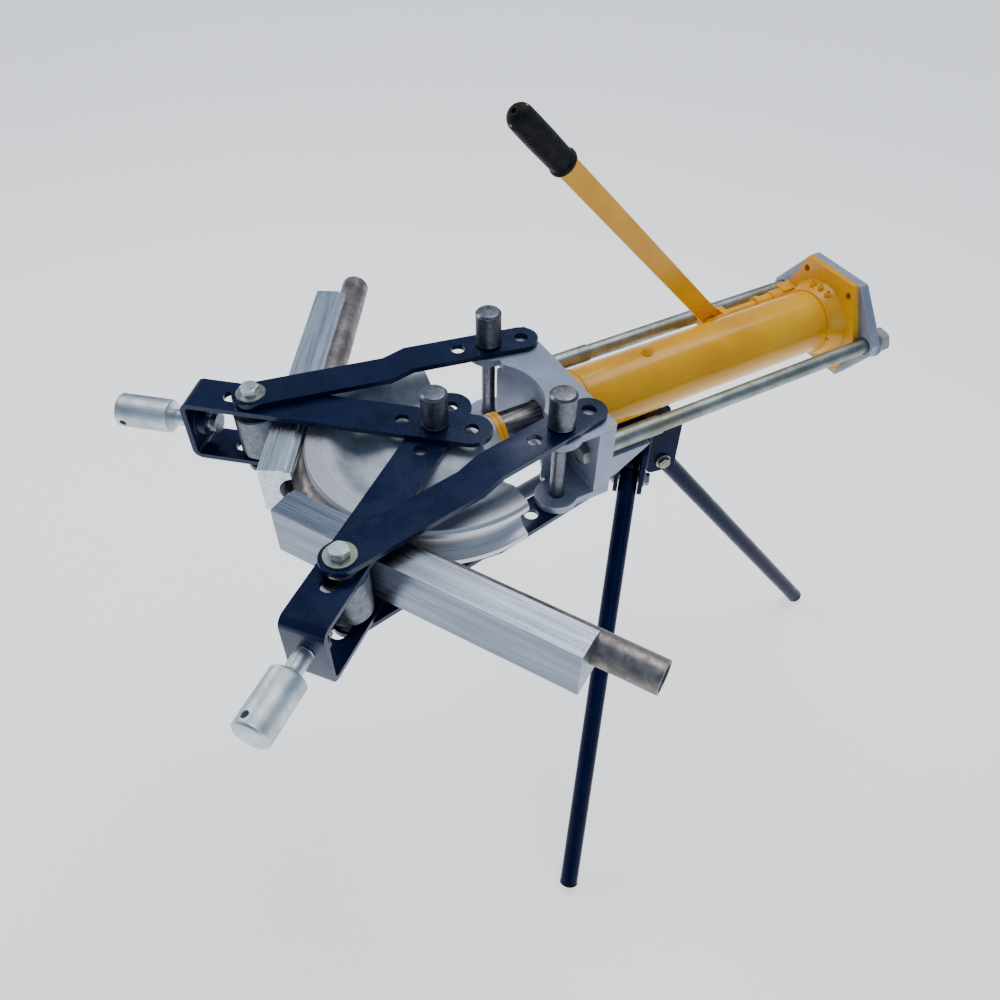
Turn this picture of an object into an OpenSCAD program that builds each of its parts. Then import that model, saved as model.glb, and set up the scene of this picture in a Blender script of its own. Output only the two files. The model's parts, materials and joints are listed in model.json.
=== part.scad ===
// Hand-pumped hydraulic tube bender on a folding tripod, caught part way through a bend.
// The ram axis runs along Y. The former faces -Y, the pump end faces +Y, +Z is up, and
// the tripod's feet stand on Z = 0. "near" is the +X side and "far" is the -X side.

/* [Placement] */
// Height of the ram axis above the ground
axis_h = 747; // [700:1:800]
// Y of the line through the two frame pins
pin_y = -100; // [-110:1:-90]

/* [Linkage] */
// Half the distance between the two frame pins
pin_x = 100; // [98:1:102]
// Distance from the frame pins' line to the former's centre at rest
reach = 133.9; // [133:0.1:135]
// Distance from the former's centre to a roller bolt
strap_len = 255.3; // [254:0.1:257]
// Angle of the straps from the ram axis at rest
strap_angle = 39.44; // [39:0.01:40]
// Angle that each follower block has turned through at rest
bend_angle = 31.4; // [31:0.1:32]
// Diameter of the lift-out pins
pin_d = 20; // [18:0.5:21]
// Thickness of the flat bar that the arms are made of
arm_t = 8; // [7:0.5:8.5]
// Width of the outer arms
arm_w = 50; // [46:1:54]
// Thickness of the bar that the U straps are made of
strap_t = 7.5; // [7:0.5:7.5]
// Width of the U straps
strap_w = 58; // [54:1:60]
// Height of a U strap over both legs
strap_h = 98; // [97.5:0.5:99]
// Distance from the former's centre to the front of a U strap
strap_front = 350; // [346:1:352]

/* [Bending tools] */
// Outside diameter of the sample tube
tube_d = 42.4; // [42:0.1:42.6]
// Wall thickness of the sample tube
tube_wall = 3.2; // [2.6:0.1:4]
// Radius from the former's centre to the tube's axis
bend_r = 176; // [175:0.5:177]
// Height of the former over its two lips
former_h = 66; // [60:1:68]
// Height of the follower blocks
block_h = 74; // [70:1:74]
// Depth of the follower blocks from the tube side to the roller side
block_w = 44; // [42:0.5:44]
// Diameter of the rollers
roller_d = 59.6; // [58:0.2:60]
// Diameter of the knurled adjusting knobs
knob_d = 48; // [44:1:50]

/* [Frame and hydraulics] */
// Half the width of the front frame
frame_x = 123; // [120:1:126]
// Thickness of the frame's flat plates
frame_t = 12; // [10:1:14]
// Diameter of the tie rods
tie_d = 24; // [22:1:26]
// Half the distance between the tie rods
tie_x = 95; // [94:0.5:96]
// Outside diameter of the cylinder
cyl_d = 100; // [96:1:102]
// Diameter of the ram
ram_d = 50; // [48:1:50]
// Width of the flat handle bar
lever_w = 30; // [28:1:34]
// Angle of the handle above the horizontal at rest
lever_angle = 46.8; // [46:0.1:48]

/* [Stand] */
// Outside diameter of the leg tubes
leg_d = 30; // [28:1:32]
// Distance of a foot from the tripod's centre line
foot_r = 488; // [476:1:496]
// Turn of the tripod head about its centre bolt
stand_turn = -39.5; // [-45:0.5:-35]

/* [Hidden] */
$fn = 64;
fit = 0.05;
former_y = pin_y - reach;
bolt_x = strap_len*sin(strap_angle);
bolt_y = former_y - strap_len*cos(strap_angle);
arm_len = norm([bolt_x - pin_x, pin_y - bolt_y]);
arm_angle = asin((bolt_x - pin_x)/arm_len);
arm_top = 73;
joggle = 11;
strap_stagger = 3.9;
bolt_d = 16;
washer_d = 40;
spare_hole = 45.7;
end_hole = 49;
plate_top = arm_top - arm_t - 0.4;
wall_y = pin_y + 47;
wall_t = 26;
cyl_front = wall_y + wall_t;
saddle_y = cyl_front + 22;
flange_y = 457;
flange_t = 11;
rear_t = 17;
rear_y = flange_y + flange_t;
block_front = 98;
block_rear = 328;
far_front = 84;
tube_split = 220;
tube_near = 408;
tube_far = 398;
groove_r = tube_d/2 + 0.4;
piston_y = 345;
nose_d = 30;
pump_x = -63;
pump_z = axis_h + 12;
lever_y = 279;
lever_arm = 40;
lever_pin_z = pump_z - lever_arm;
lever_rise = 50;
lever_foot = 30;
lever_t = 12;
valve_z = pump_z - 44;
grip_len = 102;
lever_len = 531;
pin_head = 54;
stand_y = 112.6;
hinge_r = 46;
hinge_z = axis_h - 163.4;
cap_r = leg_d/2 - 3;
cap_h = 6;
leg_angle = atan2(foot_r - hinge_r, hinge_z);
leg_len = (hinge_z - cap_r*sin(leg_angle))/cos(leg_angle) - cap_h;

steel = [0.72, 0.73, 0.75];
zinc = [0.70, 0.74, 0.72];
silver_paint = [0.66, 0.69, 0.76];
black_paint = [0.06, 0.07, 0.10];
yellow_paint = [0.93, 0.68, 0.08];
aluminium = [0.78, 0.79, 0.81];
dark_steel = [0.36, 0.35, 0.36];

// ---- placing helpers ----

// Puts a child drawn for the near side on the far side too, as its mirror image.
module on_side(side) {
    if (side > 0) children();
    else mirror([1, 0, 0]) children();
}

// Frame of a strap: X runs out along the strap, Z = 0 is the ram axis' height.
module at_strap() {
    translate([0, former_y, axis_h]) rotate([0, 0, strap_angle - 90]) children();
}

// Frame of a follower block: X runs out from the former, Y runs along the straight tube.
module at_block() {
    translate([0, former_y, axis_h]) rotate([0, 0, bend_angle - 90]) children();
}

// Frame of an outer arm: X runs from the frame pin to the roller bolt.
module at_arm() {
    translate([pin_x, pin_y, axis_h]) rotate([0, 0, arm_angle - 90]) children();
}

// Frame of the pump: X runs rearwards along the plunger.
module at_pump(y) {
    translate([pump_x, y, pump_z]) rotate([0, 0, 90]) children();
}

// Cylinder along +Y.
module rod_y(d, len) {
    rotate([-90, 0, 0]) cylinder(d = d, h = len);
}

// Cylinder along +X.
module rod_x(d, len) {
    rotate([0, 90, 0]) cylinder(d = d, h = len);
}

// Flat washer or ring.
module ring(outer, inner, h) {
    difference() {
        cylinder(d = outer, h = h);
        translate([0, 0, -1]) cylinder(d = inner, h = h + 2);
    }
}

// Plan outline of a flat bar with round ends, from X = a to X = b.
module bar_outline(a, b, w) {
    translate([a, -w/2]) square([b - a, w]);
    translate([a, 0]) circle(d = w);
    translate([b, 0]) circle(d = w);
}

// Side outline of a rounded rectangle standing in X and Z.
module round_rect(w, h, r) {
    translate([r, 0]) square([w - 2*r, h]);
    translate([0, r]) square([w, h - 2*r]);
    for (x = [r, w - r], y = [r, h - r]) translate([x, y]) circle(r = r);
}

// ---- front frame ----

// Plan outline shared by the frame's top and bottom plates.
module frame_outline() {
    difference() {
        union() {
            translate([-frame_x, pin_y]) square([2*frame_x, cyl_front - pin_y]);
            for (s = [-1, 1]) translate([s*pin_x, pin_y]) circle(r = 30);
            for (s = [-1, 1]) translate([s*(pin_x + 11.5) - 11.5, pin_y]) square([23, 20]);
        }
        translate([0, pin_y - 60]) circle(r = 82);
        for (s = [-1, 1]) translate([s*pin_x, pin_y]) circle(d = pin_d + 1);
    }
}

module frame_top_plate() {
    color(silver_paint) translate([0, 0, axis_h + plate_top - frame_t])
        linear_extrude(frame_t) frame_outline();
}

// The bottom plate has a tab at the back, which the stand's saddle is welded to.
module frame_bottom_plate() {
    tab = 140;
    color(silver_paint) translate([0, 0, axis_h - plate_top]) linear_extrude(frame_t) {
        frame_outline();
        translate([-tab/2, cyl_front - 5]) square([tab, saddle_y - cyl_front + 5]);
    }
}

// Upright curved wall that follows the arch between the two plates.
module frame_arch_web() {
    web_h = 2*(plate_top - frame_t);
    color(silver_paint) translate([0, 0, axis_h - web_h/2]) difference() {
        intersection() {
            translate([0, pin_y - 60]) cylinder(r = 100, h = web_h);
            translate([-66, pin_y - 10]) cube([132, wall_y - pin_y + 10, web_h]);
        }
        translate([0, pin_y - 60, -1]) cylinder(r = 86, h = web_h + 2);
        translate([0, pin_y, web_h/2]) rod_y(ram_d + 2, 100);
    }
}

module frame_back_wall() {
    wall_h = 2*(plate_top - frame_t);
    color(silver_paint) difference() {
        translate([-frame_x, wall_y, axis_h - wall_h/2]) cube([2*frame_x, wall_t, wall_h]);
        translate([0, wall_y - 1, axis_h]) rod_y(ram_d + 1, wall_t + 2);
        for (s = [-1, 1]) translate([s*tie_x, wall_y - 1, axis_h]) rod_y(tie_d + 2*fit, wall_t + 2);
    }
}

// Upright gusset under each tie rod sleeve, behind the back wall.
module frame_gussets() {
    low = frame_t - plate_top;
    color(silver_paint) for (s = [-1, 1]) on_side(s)
        translate([tie_x + 5, cyl_front, axis_h]) rotate([90, 0, 90])
            linear_extrude(10) polygon([[0, -14], [76, -14], [18, low], [0, low]]);
}

// ---- tie rods and rear crosshead ----

module tie_rods() {
    color(zinc) for (s = [-1, 1]) translate([s*tie_x, wall_y - 10, axis_h])
        rod_y(tie_d, rear_y + rear_t + 26 - wall_y);
}

module tie_rod_sleeves() {
    sleeve = 98;
    color(zinc) for (s = [-1, 1]) translate([s*tie_x, cyl_front, axis_h]) difference() {
        rod_y(tie_d + 3, sleeve);
        translate([0, -1, 0]) rod_y(tie_d + 2*fit, sleeve + 2);
    }
}

module tie_rod_nuts() {
    color(zinc) for (s = [-1, 1]) translate([s*tie_x, rear_y + rear_t, axis_h]) difference() {
        union() {
            rod_y(44, 3);
            translate([0, 3, 0]) rotate([-90, 0, 0]) cylinder(d = 41.5, h = 19, $fn = 6);
        }
        translate([0, -1, 0]) rod_y(tie_d + 2*fit, 30);
    }
    color(zinc) for (s = [-1, 1]) translate([s*tie_x, wall_y - 12, axis_h]) difference() {
        rotate([-90, 0, 0]) cylinder(d = 31, h = 12, $fn = 6);
        translate([0, -1, 0]) rod_y(tie_d + 2*fit, 20);
    }
}

// Eight-sided plate outline of half width w, with upright sides between Z = -8 and 8. up and
// down give the half width and the distance from the axis of its top and bottom edges.
module octagon(w, up, down) {
    polygon([[w, 8], up, [-up.x, up.y], [-w, 8], [-w, -8], [-down.x, -down.y],
        [down.x, -down.y], [w, -8]]);
}

// The four bolt holes that the rear flange and the crosshead share, from Y = y onwards.
module flange_bolt_holes(y, depth) {
    for (x = [-46, 46], z = [-53, 67]) translate([x, y, axis_h + z]) rod_y(11, depth);
}

module rear_crosshead() {
    ring_d = tie_d + 5;
    color(silver_paint) difference() {
        translate([0, rear_y + rear_t, axis_h]) rotate([90, 0, 0])
            linear_extrude(rear_t) octagon(113, [54, 84], [64, 78]);
        for (s = [-1, 1]) translate([s*tie_x, rear_y - 1, axis_h]) {
            rod_y(tie_d + 2*fit, rear_t + 2);
            rod_y(ring_d, 3);
        }
        flange_bolt_holes(rear_y - 1, rear_t + 2);
    }
}

collar_screw_d = 9;

// Seats of the three collar screws: Z runs out from the barrel.
module at_collar_screws() {
    for (a = [-16, 0, 16]) translate([0, flange_y - 11, axis_h]) rotate([0, a, 0])
        translate([0, 0, cyl_d/2 + 6.2]) children();
}

module rear_flange() {
    color(yellow_paint) difference() {
        union() {
            translate([0, rear_y - 0.2, axis_h]) rotate([90, 0, 0])
                linear_extrude(flange_t) octagon(82, [50, 86], [64, 66]);
            translate([0, flange_y - 22, axis_h]) rotate([-90, 0, 0])
                cylinder(d1 = cyl_d + 3, d2 = cyl_d + 26, h = 22.2);
        }
        flange_bolt_holes(flange_y - 1, flange_t + 2);
        translate([0, flange_y - 30, axis_h]) rod_y(cyl_d + 2*fit, flange_t + 22);
        at_collar_screws() cylinder(d = collar_screw_d + 2*fit, h = 12);
    }
}

// Socket screws set in pockets in the top of the flange's collar.
module flange_screws() {
    color(yellow_paint) at_collar_screws() difference() {
        cylinder(d = collar_screw_d, h = 7);
        translate([0, 0, 4]) cylinder(d = 5.4, h = 4, $fn = 6);
    }
}

// ---- cylinder ----

module cylinder_barrel() {
    color(yellow_paint) difference() {
        translate([0, cyl_front + 18.2, axis_h]) rod_y(cyl_d, rear_y - 8 - cyl_front - 18.2);
        translate([0, cyl_front, axis_h]) rod_y(cyl_d - 20, rear_y - 28 - cyl_front);
        translate([0, 110, axis_h + cyl_d/2 - 14]) cylinder(d = 9, h = 20);
    }
}

// Front gland that closes the barrel and guides the ram.
module cylinder_gland() {
    color(yellow_paint) translate([0, cyl_front, axis_h]) difference() {
        union() {
            rod_y(cyl_d, 18);
            rod_y(cyl_d - 20 - 2*fit, 36);
        }
        translate([0, -1, 0]) rod_y(ram_d + 2*fit, 40);
    }
}

module filler_plug() {
    color(yellow_paint) translate([0, 110, axis_h + cyl_d/2]) {
        translate([0, 0, -8]) cylinder(d = 8.8, h = 8);
        translate([0, 0, 0]) cylinder(d = 18, h = 3.4);
        translate([0, 0, 3.4]) difference() {
            scale(0.9) sphere(d = 16);
            translate([-10, -10, -20]) cube([20, 20, 20]);
        }
    }
}

// Ram with the turned-down nose that the former plugs onto.
module ram() {
    nose = 28;
    color(dark_steel) translate([0, former_y + 91, axis_h]) {
        rod_y(ram_d, piston_y - former_y - 91);
        translate([0, -nose, 0]) rod_y(nose_d, nose);
    }
}

module piston() {
    color(steel) translate([0, piston_y, axis_h]) difference() {
        rod_y(cyl_d - 20 - 2*fit, 32);
        translate([0, 12, 0]) difference() {
            rod_y(cyl_d, 8);
            translate([0, -1, 0]) rod_y(cyl_d - 34, 10);
        }
    }
}

module piston_seal() {
    color(black_paint) translate([0, piston_y + 12.1, axis_h]) difference() {
        rod_y(cyl_d - 20 - 2*fit, 7.8);
        translate([0, -1, 0]) rod_y(cyl_d - 34 + 0.1, 10);
    }
}

module ram_collar() {
    color(yellow_paint) translate([0, former_y + 84, axis_h]) difference() {
        rod_y(ram_d + 6, 14);
        translate([0, 7, 0]) rod_y(ram_d + 2*fit, 8);
        translate([0, -1, 0]) rod_y(nose_d + 2*fit, 9);
        translate([0, 5, 0]) difference() {
            rod_y(ram_d + 20, 3);
            translate([0, -1, 0]) rod_y(ram_d + 3, 5);
        }
    }
}

// ---- former and tube ----

// Height of the former's dished top surface at radius r: a raised hub, a smooth annular
// valley and a raised lip, joined by cosine curves.
hub_r = 52;
valley_r = 106;
lip_r = 148;
valley_h = 13;
function cos_step(a, b, t) = a + (b - a)*(1 - cos(180*t))/2;
function dish(r) = r < hub_r ? former_h/2
    : r < valley_r ? cos_step(former_h/2, valley_h, (r - hub_r)/(valley_r - hub_r))
    : r < lip_r ? cos_step(valley_h, former_h/2, (r - valley_r)/(lip_r - valley_r))
    : former_h/2;

module former_profile() {
    radii = [for (i = [0:8]) hub_r + (valley_r - hub_r)*i/8, for (i = [1:7]) valley_r + (lip_r - valley_r)*i/7];
    top = [for (r = radii) [r, dish(r)]];
    bottom = [for (i = [len(radii) - 1:-1:0]) [radii[i], -dish(radii[i])]];
    lip = former_h/2;
    difference() {
        polygon(concat([[0, -lip], [0, lip]], top,
            [[bend_r - 4, lip], [bend_r, lip - 4], [bend_r, 4 - lip], [bend_r - 4, -lip]], bottom));
        translate([bend_r, 0]) circle(r = groove_r - 0.1);
    }
}

module former() {
    socket_h = 54;
    color(aluminium) translate([0, former_y, axis_h]) difference() {
        union() {
            difference() {
                rotate_extrude($fn = 128) former_profile();
                translate([-200, 47, -60]) cube([400, 200, 120]);
            }
            translate([0, 24, 0]) rod_y(socket_h, 60);
        }
        translate([0, 0, -60]) cylinder(d = pin_d + 2*fit, h = 120);
        translate([0, 60, 0]) rod_y(nose_d + 2*fit, 40);
    }
}

// Bent part of the tube round the former and a straight stretch inside each block.
module tube_middle() {
    color(dark_steel) translate([0, former_y, axis_h]) difference() {
        union() {
            rotate([0, 0, -90 - bend_angle]) rotate_extrude(angle = 2*bend_angle, $fn = 128)
                translate([bend_r, 0]) circle(d = tube_d);
            for (s = [-1, 1]) on_side(s) rotate([0, 0, bend_angle - 90])
                translate([bend_r, 0, 0]) rod_y(tube_d, tube_split);
        }
        rotate([0, 0, -90 - bend_angle]) rotate_extrude(angle = 2*bend_angle, $fn = 128)
            translate([bend_r, 0]) circle(d = tube_d - 2*tube_wall);
        for (s = [-1, 1]) on_side(s) rotate([0, 0, bend_angle - 90])
            translate([bend_r, -0.01, 0]) rod_y(tube_d - 2*tube_wall, tube_split + 1);
    }
}

module tube_end(len) {
    color(dark_steel) at_block() translate([bend_r, tube_split + 0.1, 0]) difference() {
        rod_y(tube_d, len - tube_split);
        translate([0, -1, 0]) rod_y(tube_d - 2*tube_wall, len - tube_split + 2);
    }
}

module tube_end_near() {
    tube_end(tube_near);
}

module tube_end_far() {
    on_side(-1) tube_end(tube_far);
}

// Follower block: a machined bar with a half-round groove and a shallow step along its top.
module follower_block(front) {
    gap = 2;
    color(aluminium) at_block() difference() {
        translate([bend_r + gap, -front, -block_h/2]) cube([block_w, front + block_rear, block_h]);
        translate([bend_r, -front - 1, 0]) rod_y(2*groove_r, front + block_rear + 2);
        translate([bend_r + gap - 1, -front - 1, block_h/2 - 3])
            cube([9, front + block_rear + 2, 4]);
    }
}

module block_near() {
    follower_block(block_front);
}

module block_far() {
    on_side(-1) follower_block(far_front);
}

// ---- arms, straps and pins ----

// Side outline of an upper outer arm: level at the frame, stepped down towards the roller.
module arm_side() {
    low = arm_top - joggle;
    polygon([[-90, arm_top], [118, arm_top], [150, low], [370, low],
        [370, low - arm_t], [148, low - arm_t], [116, arm_top - arm_t], [-90, arm_top - arm_t]]);
}

module outer_arm() {
    difference() {
        intersection() {
            translate([0, 0, -100]) linear_extrude(200) bar_outline(-end_hole, arm_len + 1, arm_w);
            rotate([90, 0, 0]) translate([0, 0, -50]) linear_extrude(100) arm_side();
        }
        for (x = [-end_hole, 0, spare_hole]) translate([x, 0, 0]) cylinder(d = pin_d + 2*fit, h = 100);
        translate([arm_len, 0, 0]) cylinder(d = bolt_d, h = 100);
    }
}

module arm_pair() {
    color(black_paint) at_arm() {
        outer_arm();
        mirror([0, 0, 1]) outer_arm();
    }
}

module arms_near() {
    arm_pair();
}

module arms_far() {
    on_side(-1) arm_pair();
}

// Lift-out pin: a plain shaft with a rounded tip and a chamfered knurled head.
module lift_pin(shaft, tip) {
    color(steel) {
        translate([0, 0, -shaft]) cylinder(d = pin_d, h = shaft);
        translate([0, 0, -shaft - tip]) cylinder(d1 = pin_d - 5, d2 = pin_d, h = tip);
        cylinder(d = 37, h = pin_head - 4);
        translate([0, 0, pin_head - 4]) cylinder(d1 = 37, d2 = 31, h = 4);
    }
}

module frame_pin() {
    seat = arm_top + 0.2;
    translate([pin_x, pin_y, axis_h + seat]) lift_pin(2*seat + 1, 4);
}

module frame_pin_near() {
    frame_pin();
}

module frame_pin_far() {
    on_side(-1) frame_pin();
}

module centre_pin() {
    seat = strap_h/2 + strap_stagger + 0.2;
    translate([0, former_y, axis_h + seat]) lift_pin(2*seat + 2, 4);
}

// Side outline of a U strap, from behind the centre pin round the front and back again.
module strap_side() {
    bend_out = 14;
    len = strap_front + 90;
    difference() {
        translate([-90, -strap_h/2]) round_rect(len, strap_h, bend_out);
        translate([-120, strap_t - strap_h/2])
            round_rect(len + 30 - strap_t, strap_h - 2*strap_t, bend_out - strap_t);
    }
}

module u_strap(stagger) {
    slot_in = strap_len - 3;
    slot_out = strap_len + 30;
    difference() {
        intersection() {
            translate([0, 0, -100]) linear_extrude(200) bar_outline(-end_hole, strap_front + 60, strap_w);
            rotate([90, 0, 0]) translate([0, 0, -50]) linear_extrude(100) strap_side();
        }
        for (x = [-end_hole, 0, spare_hole]) translate([x, 0, -100]) cylinder(d = pin_d + 2*fit, h = 200);
        translate([0, 0, -100]) linear_extrude(200) bar_outline(slot_in, slot_out, 22);
        translate([strap_front - 30, 0, -stagger]) rod_x(23 + 2*fit, 60);
    }
}

// The near strap sits low and the far strap sits high, so their legs stack at the centre pin.
module strap_near() {
    color(black_paint) at_strap() translate([0, 0, -strap_stagger]) u_strap(-strap_stagger);
}

module strap_far() {
    color(black_paint) on_side(-1) at_strap() translate([0, 0, strap_stagger]) u_strap(strap_stagger);
}

// Roller bolt with its hex head on top and a nut below, held by the pair of arms.
module roller_bolt() {
    top = arm_top - joggle;
    color(zinc) translate([bolt_x, bolt_y, axis_h]) {
        translate([0, 0, -top - 26]) cylinder(d = bolt_d, h = 2*top + 30);
        translate([0, 0, top + 3]) cylinder(d = 23, h = 1);
        translate([0, 0, top + 4]) cylinder(d = 26, h = 10, $fn = 6);
        translate([0, 0, -top - 17]) cylinder(d = 27, h = 14, $fn = 6);
    }
}

module roller_bolt_near() {
    roller_bolt();
}

module roller_bolt_far() {
    on_side(-1) roller_bolt();
}

module roller() {
    color(steel) translate([bolt_x, bolt_y, axis_h - 34]) difference() {
        union() {
            translate([0, 0, 2]) cylinder(d = roller_d, h = 64);
            cylinder(d1 = roller_d - 4, d2 = roller_d, h = 2);
            translate([0, 0, 66]) cylinder(d1 = roller_d, d2 = roller_d - 4, h = 2);
        }
        translate([0, 0, -1]) cylinder(d = bolt_d + 2*fit, h = 80);
    }
}

module roller_near() {
    roller();
}

module roller_far() {
    on_side(-1) roller();
}

// Big washers outside the arms, and spacer stacks between each arm and the strap leg.
module arm_washers(stagger) {
    top = arm_top - joggle;
    leg = strap_h/2;
    upper_gap = top - arm_t - (leg + stagger);
    lower_gap = top - arm_t - (leg - stagger);
    color(zinc) translate([bolt_x, bolt_y, axis_h]) {
        translate([0, 0, top]) ring(washer_d, bolt_d, 3);
        translate([0, 0, -top - 3]) ring(washer_d, bolt_d, 3);
        translate([0, 0, top - arm_t - upper_gap + 0.4]) ring(44, bolt_d, upper_gap/2 - 0.4);
        translate([0, 0, top - arm_t - upper_gap/2]) ring(38, bolt_d, upper_gap/2);
        translate([0, 0, -top + arm_t]) ring(38, bolt_d, lower_gap/2);
        translate([0, 0, -top + arm_t + lower_gap/2]) ring(44, bolt_d, lower_gap/2 - 0.4);
    }
}

module washers_near() {
    arm_washers(-strap_stagger);
}

module washers_far() {
    on_side(-1) arm_washers(strap_stagger);
}

// Threaded boss welded behind the front of a U strap.
module screw_boss() {
    color(black_paint) at_strap() translate([strap_front - strap_t - 15, 0, 0]) difference() {
        rod_x(42, 15);
        translate([-1, 0, 0]) rod_x(23 + 2*fit, 20);
    }
}

module screw_bosses_near() {
    screw_boss();
}

module screw_bosses_far() {
    on_side(-1) screw_boss();
}

// Adjusting screw: a threaded stub, and a knurled knob with a cross hole for a tommy bar.
module adjusting_screw(turn) {
    knob_in = strap_len + 128.3;
    knob_len = 77.8;
    color(zinc) at_strap() difference() {
        union() {
            translate([322, 0, 0]) rod_x(23, knob_in - 322);
            translate([knob_in, 0, 0]) rotate([0, 90, 0]) {
                cylinder(d1 = knob_d - 5, d2 = knob_d, h = 3);
                translate([0, 0, 3]) cylinder(d = knob_d, h = knob_len - 5.5);
                translate([0, 0, knob_len - 2.5]) cylinder(d1 = knob_d, d2 = knob_d - 5, h = 2.5);
            }
        }
        translate([knob_in + knob_len - 12, 0, 0]) rotate([turn, 0, 0]) translate([0, 0, -40])
            cylinder(d = 10, h = 80);
        translate([321, 0, 0]) rod_x(10 + 2*fit, 13);
    }
}

module adjusting_screw_near() {
    adjusting_screw(21);
}

module adjusting_screw_far() {
    on_side(-1) adjusting_screw(99);
}

// Swivelling pad on the tip of the adjusting screw, which pushes the roller inwards.
module screw_pad() {
    color(steel) at_strap() {
        translate([314, 0, 0]) rod_x(30, 7.9);
        translate([321.8, 0, 0]) rod_x(10, 11);
    }
}

module screw_pad_near() {
    screw_pad();
}

module screw_pad_far() {
    on_side(-1) screw_pad();
}

// ---- hand pump ----

// Pump barrel with a collar, and the valve block that ties it to the rear flange.
module pump_body() {
    front = 382;
    back = flange_y - 0.2;
    bore_d = 14;
    block_low = pump_z - 60;
    color(yellow_paint) difference() {
        union() {
            at_pump(front) rod_x(21, back - front);
            at_pump(front + 26) rod_x(26, back - front - 26);
            at_pump(front - 6) rod_x(25, 8);
            translate([pump_x - 15, back - 26, block_low]) cube([22, 26, 74]);
        }
        at_pump(front - 10) rod_x(bore_d + 2*fit, 60);
        translate([0, flange_y - 22, axis_h]) rotate([-90, 0, 0])
            cylinder(d1 = cyl_d + 3.4, d2 = cyl_d + 26.4, h = 22.2);
        translate([0, flange_y - 60, axis_h]) rod_y(cyl_d + 0.4, 60);
        translate([pump_x - 16, flange_y - 12, valve_z]) rod_x(10, 12);
    }
}

// Plunger with the fork at its front end, which straddles the crank plate.
module pump_plunger() {
    fork_back = 36;
    color(dark_steel) at_pump(lever_y + fork_back - 2) rod_x(14, 93);
    color(yellow_paint) difference() {
        translate([pump_x - 12, lever_y - 11, pump_z - 10]) cube([24, fork_back + 11, 20]);
        translate([pump_x - 7.5, lever_y - 12, pump_z - 11]) cube([15, 37, 22]);
    }
    color(steel) translate([pump_x - 12, lever_y, pump_z]) rod_x(8, 24);
}

// Lug plates on the side of the barrel that carry the lever's pivot pin.
module lever_bracket() {
    lug = 32;
    color(yellow_paint) difference() {
        union() {
            for (x = [-78, -54]) translate([x, lever_y - lug/2, lever_pin_z - 16]) cube([5, lug, 26]);
            translate([-78, lever_y - lug/2, lever_pin_z - 22]) cube([48, lug, 6]);
            translate([-50, lever_y - lug/2, lever_pin_z - 16]) cube([16, lug, 16]);
        }
        translate([-90, lever_y, lever_pin_z]) rod_x(12 + 2*fit, 45);
        translate([0, lever_y - 30, axis_h]) rod_y(cyl_d + 0.2, 60);
    }
}

module lever_pivot_pin() {
    color(steel) translate([-80, lever_y, lever_pin_z]) {
        rod_x(12, 31);
        translate([-4, 0, 0]) rod_x(18, 4);
    }
}

// Crank plate at the foot of the handle, pivoted in the bracket and slotted for the plunger pin.
module lever_socket() {
    slot_w = 12;
    color(yellow_paint) translate([pump_x, lever_y, lever_pin_z]) rotate([90, 0, 90])
        translate([0, 0, -lever_t/2]) linear_extrude(lever_t) difference() {
            union() {
                circle(r = 14);
                translate([-13, 0]) square([26, lever_rise]);
                translate([0, lever_rise]) circle(r = 13);
                translate([0, lever_rise]) rotate(180 - lever_angle) translate([0, -lever_w/2])
                    square([lever_foot, lever_w]);
            }
            circle(d = 12 + 2*fit);
            rotate(90) translate([lever_arm, 0]) bar_outline(0, 8, slot_w);
        }
}

// Frame of the handle: Z runs up the bar from the middle of the crank plate's head.
module at_lever() {
    translate([pump_x, lever_y, lever_pin_z + lever_rise]) rotate([90 - lever_angle, 0, 0]) children();
}

// Flat handle bar, welded to the crank plate's head.
module lever_bar() {
    color(yellow_paint) at_lever() translate([-lever_t/2, -lever_w/2, lever_foot])
        cube([lever_t, lever_w, lever_len - lever_foot]);
}

// Rubber grip with a flared collar and a small hole in its rounded end.
module lever_grip() {
    grip_d = 35;
    color(black_paint) at_lever() difference() {
        union() {
            translate([0, 0, lever_len - grip_len]) cylinder(d = grip_d + 4, h = 8);
            translate([0, 0, lever_len - grip_len + 8]) cylinder(d = grip_d, h = grip_len - 10);
            translate([0, 0, lever_len - 2]) cylinder(d1 = grip_d, d2 = grip_d - 12, h = 9);
        }
        translate([-lever_t/2 - fit, -lever_w/2 - fit, lever_len - grip_len - 1])
            cube([lever_t + 2*fit, lever_w + 2*fit, grip_len + 1.2]);
        translate([0, 0, lever_len]) cylinder(d = 7, h = 20);
    }
}

// Release valve: a small knurled hand wheel on the side of the pump's valve block.
module release_valve() {
    color(steel) translate([pump_x - 26, flange_y - 12, valve_z]) {
        rod_x(9.9, 21);
        translate([-2, 0, 0]) rod_x(26, 8);
    }
}

// ---- stand ----

// Saddle plate welded behind the frame's bottom plate, with the post that holds the tripod head.
module stand_saddle() {
    plate_z = axis_h - cyl_d/2 - 14;
    color(black_paint) {
        translate([-70, saddle_y, plate_z - 10]) cube([140, 34, 10]);
        translate([0, 0, plate_z - 10]) linear_extrude(10) difference() {
            union() {
                translate([-30, saddle_y + 34]) square([60, stand_y - saddle_y - 34]);
                translate([0, stand_y]) circle(r = 30);
            }
            translate([0, stand_y]) circle(d = 16.1);
        }
        for (s = [-1, 1]) translate([s*62 - 5, saddle_y, plate_z]) cube([10, 34, 14]);
    }
    color(steel) translate([0, stand_y, plate_z - 60]) cylinder(d = 16, h = 66);
    color(steel) translate([0, stand_y, plate_z]) cylinder(d = 26, h = 9, $fn = 6);
}

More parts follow.
